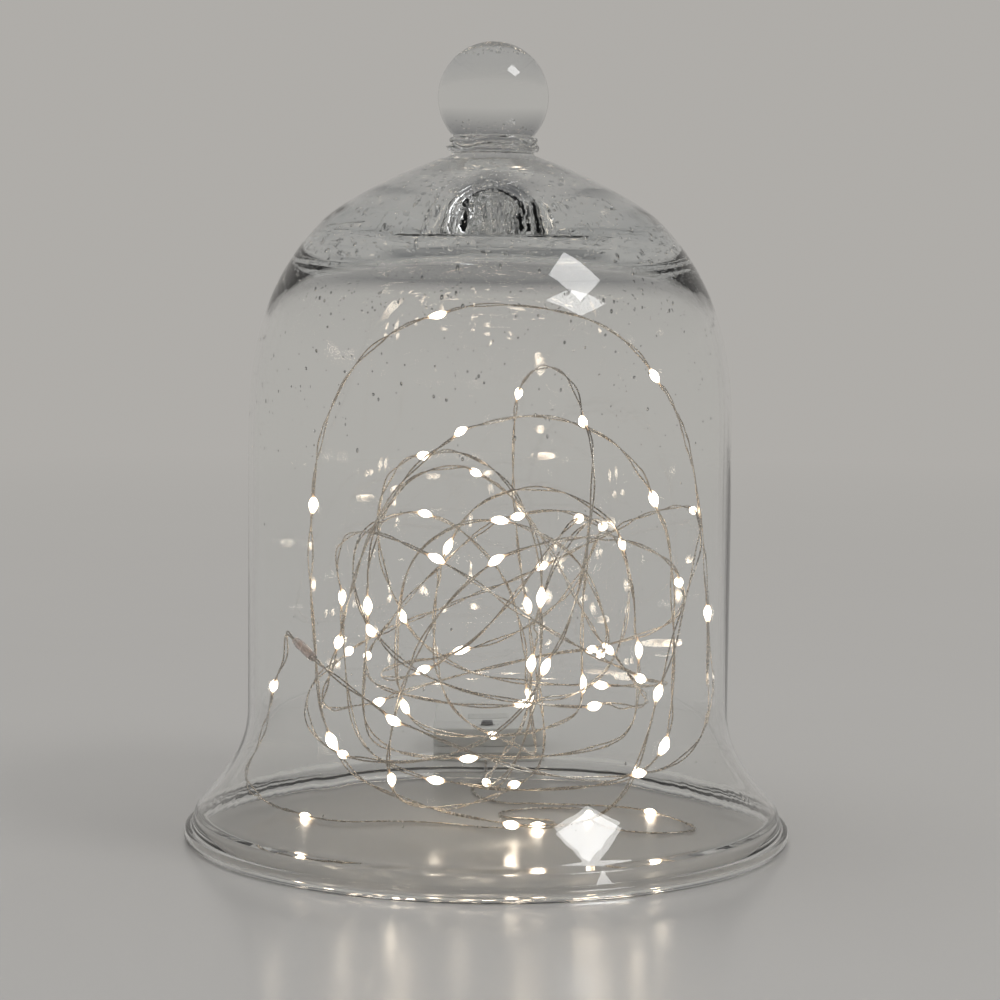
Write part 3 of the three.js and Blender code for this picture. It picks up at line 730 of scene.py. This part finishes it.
def glass_seeds():
    """Air bubbles: crowded in the collar, the ball's foot and the crown, and fewer down the wall."""
    draw = random.Random(11)
    outer = outer_glass()
    inner = inner_glass()
    wall = list(zip(outer, inner))[:HAUNCH_STEP + 1]
    ceiling = [*inner[HAUNCH_STEP:], (0.0, CEILING)]
    crown = outer[HAUNCH_STEP:HAUNCH_STEP + CROWN_STEPS + 1]
    made = []

    def sized(sizes, crowd=MANY_SMALL):
        return lerp(*sizes, draw.random() ** crowd)

    def around(r, z):
        angle = draw.uniform(0, 2 * PI)
        return Vector((r * math.cos(angle), r * math.sin(angle), z))

    def any_way():
        return Vector((draw.uniform(-1, 1), draw.uniform(-1, 1), draw.uniform(-0.6, 0.6)))

    def seed_wall(count, heights, sizes):
        """In the thin wall and the shoulder, drawn out along the glass."""
        rows = [(o, i) for o, i in wall if heights[0] <= o[1] <= heights[1]]
        for _ in range(count):
            pick = draw.random() * (len(rows) - 1)
            whole = int(pick)
            (o1, i1), (o2, i2) = rows[whole], rows[whole + 1]
            out = Vector((lerp(o1[0], o2[0], pick - whole), lerp(o1[1], o2[1], pick - whole)))
            into = Vector((lerp(i1[0], i2[0], pick - whole), lerp(i1[1], i2[1], pick - whole)))
            thick = (out - into).length
            radius = min(sized(sizes), thick * 0.24)
            place = out.lerp(into, draw.uniform(0.36, 0.64) if thick < 4 else draw.uniform(0.12, 0.88))
            centre = around(place.x, place.y)
            outward = Vector((centre.x, centre.y, 0)).normalized()
            along = outward * (out.y - into.y) + UP * (into.x - out.x)
            made.append(bubble(centre, radius, draw.uniform(1.0, 2.2), along))

    def seed_crown(count, reach, crowd, sizes):
        """Between the hollow's ceiling and the top of the crown, most of them near its middle."""
        for _ in range(count):
            if draw.random() < 0.6:
                r = SEAT_RADIUS + 2 + (reach - SEAT_RADIUS - 2) * draw.random() ** crowd
            else:
                r = reach * draw.random()
            size = sized(sizes)
            gap = SKIN_GAP + 1.6 * size
            top = height_on(crown, r) if r > SEAT_RADIUS + SEAT_ROUND else CROWN_HEIGHT
            z = lerp(top - gap, height_on(ceiling, r) + gap, draw.random() ** 1.4)
            made.append(bubble(around(r, z), size, draw.uniform(1.0, 1.7), any_way()))

    def seed_solid(count, radius_at, heights, crowd, sizes):
        """Inside a solid of revolution, crowded to its skin."""
        for _ in range(count):
            z = lerp(*heights, draw.random())
            size = sized(sizes)
            reach = radius_at(z) - size * 1.8 - 0.3
            centre = around(reach * draw.random() ** crowd, z)
            made.append(bubble(centre, size, draw.uniform(1.0, 1.6), any_way()))

    def seed_crest(count, sizes):
        """Under the skin of the ball's crest."""
        for _ in range(count):
            tilt = CREST_TILT * draw.random() ** 0.6
            size = sized(sizes, 2)
            reach = KNOB_RADIUS - 0.6 - size * 1.6 - 1.6 * draw.random()
            centre = around(reach * math.sin(tilt), KNOB_CENTRE + reach * math.cos(tilt))
            made.append(bubble(centre, size, 1.2, any_way()))

    def neck_radius(z):
        return SEAT_RADIUS + 0.2

    def ball_radius(z):
        return math.sqrt(KNOB_RADIUS**2 - (z - KNOB_CENTRE) ** 2)

    seed_wall(90, heights=(20, 150), sizes=(0.16, 0.4))
    seed_wall(280, heights=(150, 215), sizes=(0.18, 0.55))
    seed_wall(420, heights=(205, HAUNCH[1]), sizes=(0.2, 0.75))
    seed_crown(800, reach=HAUNCH[0] - 8, crowd=1.4, sizes=(0.22, 0.85))
    seed_solid(420, neck_radius, heights=(CROWN_HEIGHT - 4, KNOB_FOOT - 0.6), crowd=0.4, sizes=(0.2, 0.7))
    seed_solid(160, ball_radius, heights=(KNOB_FOOT - 0.4, KNOB_FOOT + 6), crowd=0.5, sizes=(0.18, 0.5))
    seed_crest(240, sizes=(0.2, 0.62))
    return made


def add_glass():
    points, faces = join([glass_shell(), *glass_seeds()])
    glass = add_piece("blown_glass", points, faces, blown_glass(), "cloche", "clear_glass")
    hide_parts("glass_bell", "neck_collar", "ball_knob")


# Light string: its sizes, then how the winding lies, as in the part's source

WIRE_DIAMETER = 1.2
LIGHT_PITCH = 100.0
LEAD_LENGTH = 145.0
BEAD_LENGTH = 7.0
BEAD_DIAMETER = 3.0
SLEEVE_LENGTH = 14.0
SLEEVE_DIAMETER = 4.0
SLEEVE_WALL = 0.35
CLEARANCE = 0.3

LOOPS = 14
LOOP_STEPS = 240
WALL_GAP = 3.6
WINDING_OFFSET = 5.0
WINDING_TOP = 226.0
WINDING_FOOT = 4.0
CORE_TOP = 138.0
CORE_FOOT = 42.0
INNER_RADIUS = 42.0
OUTER_RADIUS = BODY_RADIUS - WALL - WINDING_OFFSET - WALL_GAP
SAG = 0.3
FULLNESS = 0.45
LEAN = 0.937
SWAY = 0.724
SWAY_RATE = 0.4894
SWAY_PHASE = 4.911
START = 3.38
DRIFT = -0.1108
HEADING = 0.349

BOX_FRONT = RIM_RADIUS + 14
GROMMET_OUT = 3.0
GROMMET_HEIGHT = 5.0
EXIT = Vector((0, BOX_FRONT - GROMMET_OUT - CLEARANCE, GROMMET_HEIGHT))
ROUTE = [
    (0, 128, 4.6), (0, 123, 1.4), (0, 117, 0.8), (-1, 108, 0.7), (-6, 92, 0.7), (-4, 74, 0.7), (6, 60, 0.7),
    (26, 56, 0.8), (50, 48, 1.2), (68, 34, 1.6), (81, 16, 1.1), (83, 4, 0.8), (72, -3, 0.7), (56, -1, 0.9),
    (44, 12, 1.5), (42, 30, 1.6), (40, 42, 1.2), (30, 48, 0.7), (16, 46, 0.7), (6, 38, 0.7), (8, 28, 0.7),
    (18, 25, 0.7), (26, 20, 0.9), (27, 12, 1.3), (19, 7, 1.6), (2, 5, 0.9), (-19, 13, 0.7), (-40, 15, 0.8),
    (-60, 13, 1.2), (-79, 28, 1.8), (-91, 37, 4), (-98, 30, 12), (-98, 18, 22), (-92, 9, 34), (-87, -1, 48),
    (-83, -12, 62), (-78, -22, 73),
]


def winding_point(loop):
    """Nested egg shapes, one a loop, shrinking inwards; each loop leans and turns a little further."""
    turn = loop * 2 * PI
    lean = LEAN + SWAY * math.sin(SWAY_RATE * turn + SWAY_PHASE)
    out = Vector((math.cos(turn + START), math.sin(turn + START), 0))
    out = Matrix.Rotation(HEADING + DRIFT * turn, 3, "Z") @ Matrix.Rotation(lean, 3, "X") @ out
    share = 1 - loop / LOOPS
    top = lerp(CORE_TOP, WINDING_TOP, 0.37 * share + 0.63 * share**4)
    foot = lerp(CORE_FOOT, WINDING_FOOT, share)
    wide = lerp(INNER_RADIUS, OUTER_RADIUS, share) * (1 + FULLNESS * out.z**2)
    level = out.z - SAG * (1 - out.z**2)
    return Vector((WINDING_OFFSET + wide * out.x, wide * out.y, (top + foot) / 2 + (top - foot) / 2 * level))


class Line:
    """A dense line of points that can be asked for a point or direction at a length."""

    LOOK = 0.6

    def __init__(self, points):
        self.points = points
        self.lengths = [0.0]
        for a, b in zip(points, points[1:]):
            self.lengths.append(self.lengths[-1] + (b - a).length)
        self.length = self.lengths[-1]
        self.last = 0

    def at(self, length):
        length = min(max(length, 0), self.length)
        low = self.last if self.lengths[self.last] <= length else 0
        while low < len(self.points) - 2 and self.lengths[low + 1] < length:
            low += 1
        self.last = low
        span = self.lengths[low + 1] - self.lengths[low]
        return self.points[low].lerp(self.points[low + 1], (length - self.lengths[low]) / span)

    def direction(self, length):
        behind = self.at(length - self.LOOK)
        return (self.at(length + self.LOOK) - behind).normalized()


def string_route():
    """Table, sleeve and winding as one line, with the lights' places and how far the winding starts."""
    winding = [winding_point(i / LOOP_STEPS) for i in range(LOOPS * LOOP_STEPS + 1)]
    start = winding[0]
    heading = (Line(winding[:40]).at(1.0) - start).normalized()

    def before(distance):
        return start - heading * distance

    through = SLEEVE_LENGTH + 2 * CLEARANCE
    knots = [EXIT, *map(Vector, ROUTE), before(SLEEVE_LENGTH + 8), before(SLEEVE_LENGTH + 3), before(through)]
    run = catmull(knots, 24)
    sleeve = [before(through * (1 - i / 12)) for i in range(1, 12)]
    run_length = Line(run).length
    wound_from = run_length + through
    line = Line(run + sleeve + winding)
    end = line.length + CLEARANCE + BEAD_LENGTH
    places = [LEAD_LENGTH + LIGHT_PITCH * i for i in range(int(end / LIGHT_PITCH))]
    margin = BEAD_LENGTH / 2 + WIRE_DIAMETER
    last = line.length - LIGHT_PITCH / 2
    places = [p for p in places if p < run_length - margin or wound_from + margin < p < last]
    return line, places, wound_from, heading, before(SLEEVE_LENGTH / 2 + CLEARANCE)


WIRE_STEP = 2.0
STRAND_RADIUS = 0.31
STRAND_SIDES = 7
STRAND_APART = 0.33
STRAND_SPREAD = 0.55
TWIST_PITCH = 52.0


def even_stops(line):
    count = round(line.length / WIRE_STEP)
    return [line.length * i / count for i in range(count + 1)]


def springiness(line, places, wound_from):
    """The line again with the small waves and the kink at each light that a hand-wound wire keeps."""
    draw = random.Random(5)
    ripples = [(draw.uniform(0.05, 0.2), draw.uniform(0.03, 0.12), draw.uniform(0, 2 * PI)) for _ in range(5)]
    kinks = [(draw.uniform(0.8, 2.2), draw.uniform(4.4, 7.0), draw.uniform(0, 2 * PI)) for _ in places]
    points = []
    bead = 0
    for s in even_stops(line):
        point = line.at(s)
        wound = ease((s - wound_from - 6) / 30) * ease((line.length - s) / 20)
        if wound > 0:
            ahead = line.direction(s)
            side = ahead.cross(UP)
            side = side.normalized() if side.length > 0.2 else ahead.cross(Vector((1, 0, 0))).normalized()
            over = ahead.cross(side)
            while bead < len(places) - 1 and places[bead] < s - LIGHT_PITCH / 2:
                bead += 1
            high, long, way = kinks[bead]
            kink = high / (1 + ((s - places[bead]) / long) ** 2)
            sway = sum(a * math.sin(k * s + p) for a, k, p in ripples[:3])
            lift = sum(a * math.sin(k * s * 1.3 + p) for a, k, p in ripples[2:])
            aside = side * (0.8 * sway + kink * math.cos(way))
            point = point + wound * (aside + over * (0.8 * lift + kink * math.sin(way)))
        points.append(point)
    return Line(points)


def twin_strands(line, places):
    """Two thin wires side by side that turn slowly round each other, drawn together at each light."""
    draw = random.Random(17)
    swings = [(draw.uniform(0.004, 0.02), draw.uniform(1.0, 2.4), draw.uniform(0, 2 * PI)) for _ in range(6)]
    openings = [(draw.uniform(0.05, 0.16), draw.uniform(0, 2 * PI)) for _ in range(3)]
    stops = even_stops(line)
    points = [line.at(s) for s in stops]
    nearest = 0
    pair = [[], []]
    for s, (point, across, up) in zip(stops, frames(points, way=-1)):
        wound = ease((point.z - 1.5) / 6)
        twist = wound * (2 * PI * s / TWIST_PITCH + sum(a * math.sin(k * s + p) for k, a, p in swings))
        while nearest < len(places) - 1 and places[nearest + 1] - s < s - places[nearest]:
            nearest += 1
        clear = ease((abs(s - places[nearest]) - 4) / 9)
        opening = sum(math.sin(k * s + p) for k, p in openings) / 3
        apart = STRAND_APART + STRAND_SPREAD * clear * wound * max(opening + 0.35, 0)
        offset = across * math.cos(twist) + up * math.sin(twist)
        for strand, sign in zip(pair, (1, -1)):
            strand.append(point + offset * sign * apart)
    radii = [STRAND_RADIUS] * len(points)
    return join([tube(strand, radii, STRAND_SIDES) for strand in pair]), points


DROP_RINGS = 14
DROP_SIDES = 12
TIP_REACH = 2.3
DROP_FLOOR = 0.1


def light_drop(line, place, draw):
    """A drop of resin round the wire: full on one side, flatter on the other, drawn out to its tips."""
    half = (BEAD_LENGTH / 2 + TIP_REACH) * draw.uniform(0.86, 1.04)
    fat = BEAD_DIAMETER / 2 * draw.uniform(0.98, 1.2)
    lean = draw.uniform(-0.4, 0.4)
    belly = draw.uniform(0.1, 0.4)
    sharp = draw.uniform(1.3, 2.2)
    around = draw.uniform(0, 2 * PI)
    ahead = line.direction(place)
    across = ahead.cross(Vector((0.3, 0.2, 1))).normalized()
    bulge = across * math.cos(around) + ahead.cross(across) * math.sin(around)
    stops = [-math.cos(PI * i / DROP_RINGS) for i in range(DROP_RINGS + 1)]
    leaned = [t + 0.25 * lean * (1 - t * t) for t in stops]
    swell = [math.cos(PI / 2 * t) ** sharp if abs(t) < 1 else 0.0 for t in leaned]
    centre = [line.at(place + half * t) + bulge * fat * belly * w for t, w in zip(stops, swell)]
    radii = [max(fat * w, 0.5 - 0.2 * abs(t)) for t, w in zip(stops, swell)]
    points, faces = tube(centre, radii, DROP_SIDES)
    points = [Vector((p.x, p.y, max(p.z, DROP_FLOOR))) for p in points]
    glow = [w**0.8 for w in swell for _ in range(DROP_SIDES)]
    return points, faces, glow


SLEEVE_SIDES = 32
SLEEVE_STEPS = 16
SLEEVE_FIT = 0.98
SLEEVE_FLATNESS = 0.9


def splice_tube(centre, heading):
    """A clear shrunk sleeve, open at both ends and drawn in there on the wire."""
    outer, inner = [], []
    for i in range(SLEEVE_STEPS + 1):
        t = 2 * i / SLEEVE_STEPS - 1
        pinch = 1 - 0.16 * ease((abs(t) - 0.6) / 0.4) + 0.02 * math.sin(9 * t)
        along = SLEEVE_LENGTH / 2 * t
        outer.append((along, SLEEVE_DIAMETER / 2 * pinch * SLEEVE_FIT))
        inner.append((along, (SLEEVE_DIAMETER / 2 - SLEEVE_WALL) * pinch * SLEEVE_FIT))
    outline = outer + inner[::-1]
    turn = UP.rotation_difference(heading).to_matrix()
    points, faces = [], []
    for i, (along, r) in enumerate(outline):
        for a in round_angles(SLEEVE_SIDES):
            place = Vector((r * math.cos(a), SLEEVE_FLATNESS * r * math.sin(a), along))
            points.append(centre + turn @ place)
        after = (i + 1) % len(outline)
        faces += band(i * SLEEVE_SIDES, after * SLEEVE_SIDES, SLEEVE_SIDES)
    sleeve = add_piece("splice_tube", points, faces, clear_sleeve(), "light_set", "clear_sleeve")
    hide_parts("splice_sleeve")
    return sleeve


def add_string():
    """The wire, its drops and its sleeve; gives the wire, its path and length, and the pieces on it."""
    line, places, wound_from, heading, sleeve_centre = string_route()
    line = springiness(line, places, wound_from)
    (points, faces), path = twin_strands(line, places)
    wire = add_piece("twin_wire", points, faces, silver_wire(), "light_set", "silver_wire")
    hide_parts("wire_run", "wire_winding")

    draw = random.Random(29)
    resin = lit_resin()
    parts, glow = [], []
    for place in places:
        drop_points, drop_faces, drop_glow = light_drop(line, place, draw)
        parts.append((drop_points, drop_faces))
        glow += drop_glow
    points, faces = join(parts)
    drops = add_piece("light_drops", points, faces, resin, "light_set", "light_resin", glow=glow)

    beyond = line.direction(line.length)
    end = line.points[-1]
    tail = Line([end - beyond * TIP_REACH, end + beyond * (BEAD_LENGTH + 2 * TIP_REACH)])
    points, faces, glow = light_drop(tail, TIP_REACH + CLEARANCE + BEAD_LENGTH / 2, draw)
    last = add_piece("last_drop", points, faces, resin, "light_set", "light_resin", glow=glow)
    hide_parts("end_light")
    return wire, path, line.length, [drops, last, splice_tube(sleeve_centre, heading)]


# Battery box

CASE_EDGE = 0.2
SLIDER_EDGE = 0.15
GROMMET_EDGE = 0.12
PLATE_EDGE = 0.08
FLAT_ANGLE = math.radians(1)
EDGE_ANGLE = math.radians(32)
SHARP_ANGLE = math.radians(40)
CELL_SIDES = 48
NUB_HEIGHT = 1.3
PLATES = ("contact_plate_minus", "contact_bridge_front", "contact_bridge_rear", "contact_plate_plus")


def refined(name, node, material, body, edge):
    """A node's own shape with its edges rounded, its flat faces whole and its round ones smooth."""
    mesh = bpy.data.meshes.new(name)
    shape = bmesh.new()
    shape.from_mesh(frame["nodes"][node].data)
    bmesh.ops.remove_doubles(shape, verts=shape.verts, dist=SHORTEST)
    bmesh.ops.dissolve_limit(shape, angle_limit=FLAT_ANGLE, verts=shape.verts, edges=shape.edges)
    shape.to_mesh(mesh)
    shape.free()
    piece = as_piece(name, mesh, material, body)
    bevel = piece.modifiers.new("rounded", "BEVEL")
    bevel.width = edge * MM
    bevel.segments = 2
    bevel.limit_method = "ANGLE"
    bevel.angle_limit = EDGE_ANGLE
    bevel.harden_normals = True
    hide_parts(node)
    return piece


def cell_outline(radius, flat_end, nub_end):
    """A cell as (radius, along): flat end, rolled edge, wrap with its two bands, rolled edge and nub."""
    way = 1 if nub_end > flat_end else -1
    shoulder = nub_end - way * NUB_HEIGHT
    base = [
        (1.0, 0.0), (4.6, 0.0), (4.9, 0.25), (radius - 1.0, 0.3), (radius - 0.5, 0.02),
        (radius - 0.12, 0.15), (radius, 0.6),
    ]
    top = [
        (radius, 0.6), (radius - 0.12, 0.15), (radius - 0.5, 0.02), (radius - 1.1, 0.02),
        (radius - 1.2, 0.3), (3.0, 0.3), (2.7, 0.0),
    ]
    nub = [(2.6, 0.25), (2.3, 0.0), (0.6, 0.0)]
    outline = [(r, flat_end + way * inset) for r, inset in base]
    outline += [(radius, lerp(flat_end, shoulder, share)) for share in (0.3, 0.62, 0.64)]
    outline += [(r, shoulder - way * inset) for r, inset in top]
    outline += [(r, nub_end - way * inset) for r, inset in nub]
    return outline, [(along - flat_end) / (shoulder - flat_end) for _, along in outline]


def add_cell(i, wrap):
    """A cell turned round its node's long axis, its nub at the end away from its spring."""
    node = f"battery_cell_{i}"
    low, high = (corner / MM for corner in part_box(node))
    middle = (low + high) / 2
    spring_low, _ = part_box(f"contact_spring_{i}")
    ends = (low.y, high.y) if spring_low.y / MM < low.y else (high.y, low.y)
    outline, shares = cell_outline((high.x - low.x) / 2, *ends)
    points, faces, bands = [], [], []
    for (r, along), share in zip(outline, shares):
        for a in round_angles(CELL_SIDES):
            points.append((middle.x + r * math.cos(a), along, middle.z + r * math.sin(a)))
            bands.append(share)
    last = len(points) - CELL_SIDES
    for start in range(0, last, CELL_SIDES):
        faces += band(start + CELL_SIDES, start, CELL_SIDES)
    faces.append(tuple(range(CELL_SIDES)))
    faces.append(tuple(reversed(range(last, last + CELL_SIDES))))
    cell = add_piece(f"cell_{i}", points, faces, wrap, "light_set", "cell_wrap", band=bands)
    shape = bmesh.new()
    shape.from_mesh(cell.data)
    bmesh.ops.recalc_face_normals(shape, faces=shape.faces)
    shape.to_mesh(cell.data)
    shape.free()
    cell.data.set_sharp_from_angle(angle=SHARP_ANGLE)
    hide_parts(node)


def add_box():
    """The box with what it holds; gives the grommet that the wire leaves it by."""
    plastic = box_plastic()
    nickel = nickel_plate()
    refined("tray_shell", "box_tray", plastic, "light_set", CASE_EDGE)
    refined("deck_shell", "bay_deck", plastic, "light_set", CASE_EDGE)
    refined("cover_shell", "battery_cover", plastic, "cover", CASE_EDGE)
    dark = moulded("slider_plastic", (0.05, 0.05, 0.052), (0.085, 0.085, 0.09), 0.4)
    refined("slider_cap", "switch_slider", dark, "slider", SLIDER_EDGE)
    for plate in PLATES:
        refined(f"{plate}_formed", plate, nickel, "light_set", PLATE_EDGE)
    wrap = cell_wrap()
    for i in (1, 2, 3):
        add_cell(i, wrap)
    chip = moulded("chip_plastic", (0.012, 0.012, 0.013), (0.03, 0.03, 0.032), 0.4)
    inside = {"control_board": board_lacquer(), "timer_chip": chip, "slide_switch": nickel}
    inside.update({f"contact_spring_{i}": nickel for i in (1, 2, 3)})
    for node, material in inside.items():
        materials = frame["nodes"][node].data.materials
        materials.clear()
        materials.append(material)
    rubber = moulded("soft_rubber", (0.72, 0.71, 0.67), (0.8, 0.79, 0.76), 0.6)
    return refined("wire_grommet", "cord_grommet", rubber, "light_set", GROMMET_EDGE)


add_camera()
add_softbox("window_box", (0.56, -0.35, 0.745), 2.0, (0.62, 0.62), power=10, roll=math.radians(22))
overhead = add_softbox("overhead_box", (-0.5, 0.1, 1.0), 2.2, (1.5, 1.5), power=5, roll=0.0)
overhead.visible_glossy = False
overhead.visible_transmission = False
add_world()
add_floor()
wire, path, wire_length, on_wire = add_string()
add_glass()
grommet = add_box()
wire_length * MM
[point * MM for point in path]
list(on_wire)

bpy.context.scene.view_settings.view_transform = "Standard"
cycles = bpy.context.scene.cycles
cycles.max_bounces = 20
cycles.transmission_bounces = 20
cycles.glossy_bounces = 8
